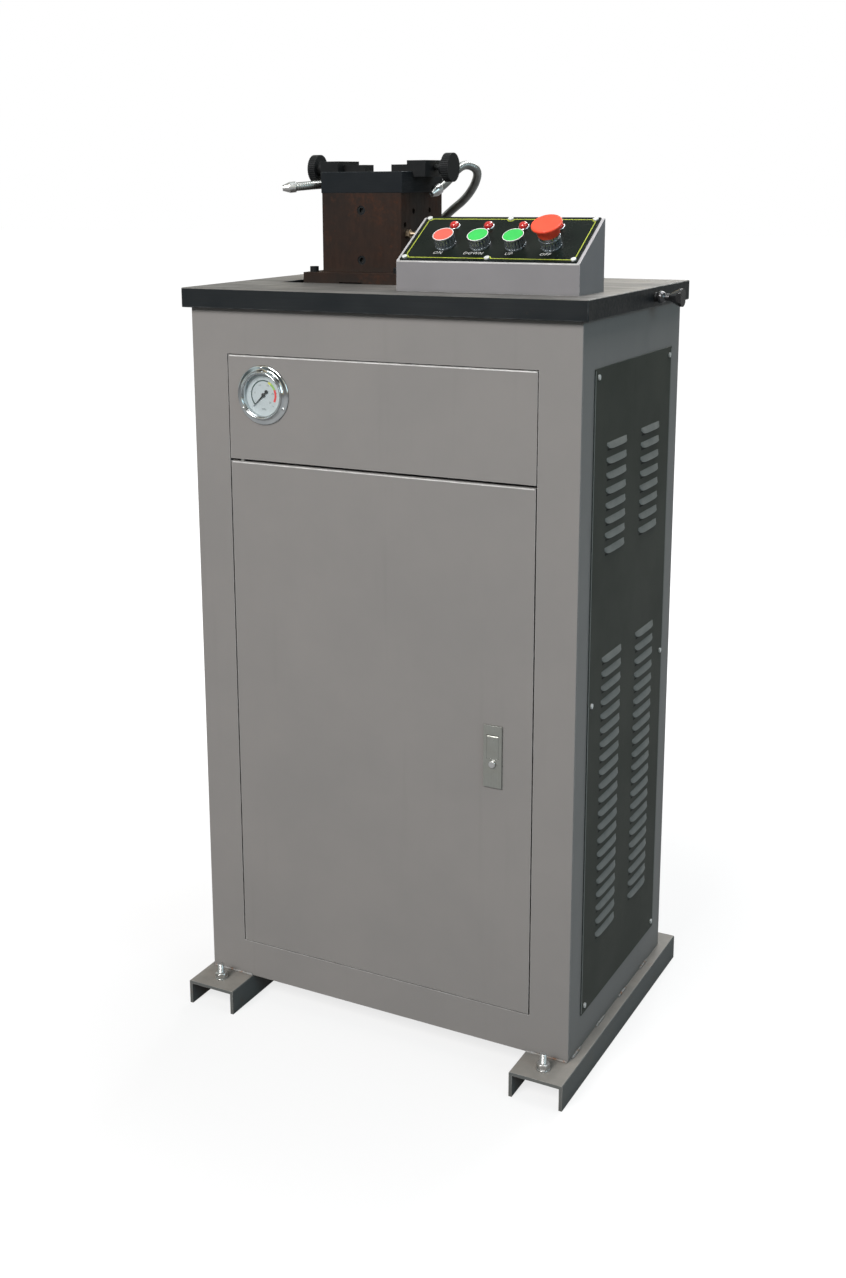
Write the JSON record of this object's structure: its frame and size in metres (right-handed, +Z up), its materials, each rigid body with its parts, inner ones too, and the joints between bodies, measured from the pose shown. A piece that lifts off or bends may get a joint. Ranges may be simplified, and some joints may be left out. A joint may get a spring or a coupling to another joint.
{
  "type": "notch broaching machine",
  "caption": "Hydraulic specimen-notch broaching machine: steel cabinet on channels, table, clamping head, sloping button console.",
  "frame": {"origin": "on the floor, under the middle of the cabinet", "axes": "+X to the machine's right, +Y to its back, +Z up"},
  "size_m": [0.66, 0.488, 1.2878],
  "materials": {
    "cabinet_paint": "textured grey paint",
    "inner_paint": "plain grey primer",
    "black_steel": "blackened, worn bright at the edges",
    "rusty_steel": "blackened with light rust",
    "bright_steel": "ground",
    "zinc": "zinc plated",
    "chrome": "polished",
    "console_plate": "black printed plate",
    "red_plastic": "gloss",
    "green_plastic": "gloss",
    "stop_red": "gloss",
    "lamp_red": "clear red lens",
    "dial_white": "printed dial",
    "needle_black": "matt",
    "glass": "clear",
    "brass": "turned",
    "hose_grey": "grey covered flexible pipe",
    "unit_paint": "machine blue paint",
    "cast_iron": "cast",
    "motor_aluminium": "cast, unpainted"
  },
  "bodies": {
    "machine": {"base_channels": "cabinet_paint", "levelling_screws": "zinc", "front_frame": "cabinet_paint", "side_sheets": "cabinet_paint", "side_covers": "cabinet_paint", "panel_screws": "zinc", "back_panel": "cabinet_paint", "floor_pan": "inner_paint", "inner_frame": "inner_paint", "fascia": "cabinet_paint", "pivot_pins": "bright_steel", "gauge_case": "chrome", "gauge_dial": "dial_white", "gauge_glass": "glass", "table_top": "black_steel", "head_base_plate": "rusty_steel", "head_screws": "black_steel", "head_body": "rusty_steel", "head_cap": "black_steel", "guide_gibs": "bright_steel", "brass_fitting": "brass", "cylinder_frame": "inner_paint", "cylinder_barrel": "unit_paint", "clamp_brackets": "black_steel", "console_housing": "cabinet_paint", "console_plate": "console_plate", "button_bezels": "chrome", "pilot_lamps": "lamp_red", "coolant_hoses": "hose_grey", "coolant_fittings": "zinc", "tap_body": "chrome", "oil_tank": "unit_paint", "tank_lid": "unit_paint", "gear_pump": "cast_iron", "motor_housing": "motor_aluminium", "valve_block": "cast_iron", "hydraulic_pipes": "bright_steel", "coolant_tank": "inner_paint", "coolant_pump": "unit_paint", "chip_chute": "inner_paint", "electrical_box": "inner_paint"},
    "door": {"door_panel": "cabinet_paint", "lock_body": "zinc"},
    "lock_lever": {"lock_handle": "zinc"},
    "lock_push": {"lock_button": "zinc"},
    "needle": {"gauge_needle": "needle_black"},
    "broach": {"broach_holder": "bright_steel", "u_broach": "bright_steel", "v_broach": "bright_steel", "piston_rod": "bright_steel"},
    "left_slide": {"left_jaw": "black_steel"},
    "right_slide": {"right_jaw": "black_steel"},
    "left_knob": {"left_clamp_screw": "black_steel"},
    "right_knob": {"right_clamp_screw": "black_steel"},
    "pump_push": {"pump_button": "red_plastic"},
    "cutting_push": {"cutting_button": "green_plastic"},
    "lifting_push": {"lifting_button": "green_plastic"},
    "stop_push": {"stop_button": "stop_red"},
    "cock": {"tap_handle": "chrome"},
    "rotor": {"motor_rotor": "bright_steel"}
  },
  "joints": [
    {"name": "door_hinge", "type": "hinge", "parent": "machine", "child": "door", "pos_m": [-0.2225, -0.188, 0.476], "axis": [0, 0, 1], "range_deg": [-115, 0]},
    {"name": "lock_lever_lift", "type": "hinge", "parent": "door", "child": "lock_lever", "pos_m": [0.1808, -0.1945, 0.502], "axis": [1, 0, 0], "range_deg": [-35, 0]},
    {"name": "lock_press", "type": "slide", "parent": "door", "child": "lock_push", "axis": [0, 1, 0], "range_m": [0, 0.003], "stiffness_N_per_m": 400, "springref_m": -0.002},
    {"name": "needle_turn", "type": "hinge", "parent": "machine", "child": "needle", "pos_m": [-0.1806, -0.195, 0.9538], "axis": [0, 1, 0], "range_deg": [0, 270]},
    {"name": "broach_stroke", "type": "slide", "parent": "machine", "child": "broach", "axis": [0, 0, 1], "range_m": [0, 0.25]},
    {"name": "left_jaw_slide", "type": "slide", "parent": "machine", "child": "left_slide", "axis": [-1, 0, 0], "range_m": [-0.0096, 0.0061]},
    {"name": "right_jaw_slide", "type": "slide", "parent": "machine", "child": "right_slide", "axis": [1, 0, 0], "range_m": [-0.0096, 0.0061]},
    {"name": "left_knob_turn", "type": "hinge", "parent": "left_slide", "child": "left_knob", "pos_m": [-0.2303, 0.05, 1.267], "axis": [-1, 0, 0], "range_deg": [-1140, 720]},
    {"name": "right_knob_turn", "type": "hinge", "parent": "right_slide", "child": "right_knob", "pos_m": [-0.0063, 0.05, 1.267], "axis": [1, 0, 0], "range_deg": [-1140, 720]},
    {"name": "pump_press", "type": "slide", "parent": "machine", "child": "pump_push", "axis": [0, 0.5317, -0.8469], "range_m": [0, 0.004], "stiffness_N_per_m": 400, "springref_m": -0.003},
    {"name": "cutting_press", "type": "slide", "parent": "machine", "child": "cutting_push", "axis": [0, 0.5317, -0.8469], "range_m": [0, 0.004], "stiffness_N_per_m": 400, "springref_m": -0.003},
    {"name": "lifting_press", "type": "slide", "parent": "machine", "child": "lifting_push", "axis": [0, 0.5317, -0.8469], "range_m": [0, 0.004], "stiffness_N_per_m": 400, "springref_m": -0.003},
    {"name": "stop_press", "type": "slide", "parent": "machine", "child": "stop_push", "axis": [0, 0.5317, -0.8469], "range_m": [0, 0.004], "stiffness_N_per_m": 400, "springref_m": -0.003},
    {"name": "cock_turn", "type": "hinge", "parent": "machine", "child": "cock", "pos_m": [0.345, 0.05, 1.0885], "axis": [1, 0, 0], "range_deg": [0, 90]},
    {"name": "rotor_spin", "type": "hinge", "parent": "machine", "child": "rotor", "pos_m": [0.18, 0.02, 0.45], "axis": [0, 0, 1], "continuous": true}
  ],
  "couplings": [
    {"joint": "left_jaw_slide", "follows": "left_knob_turn", "m_per_rad": 0.00047746},
    {"joint": "right_jaw_slide", "follows": "right_knob_turn", "m_per_rad": 0.00047746}
  ]
}
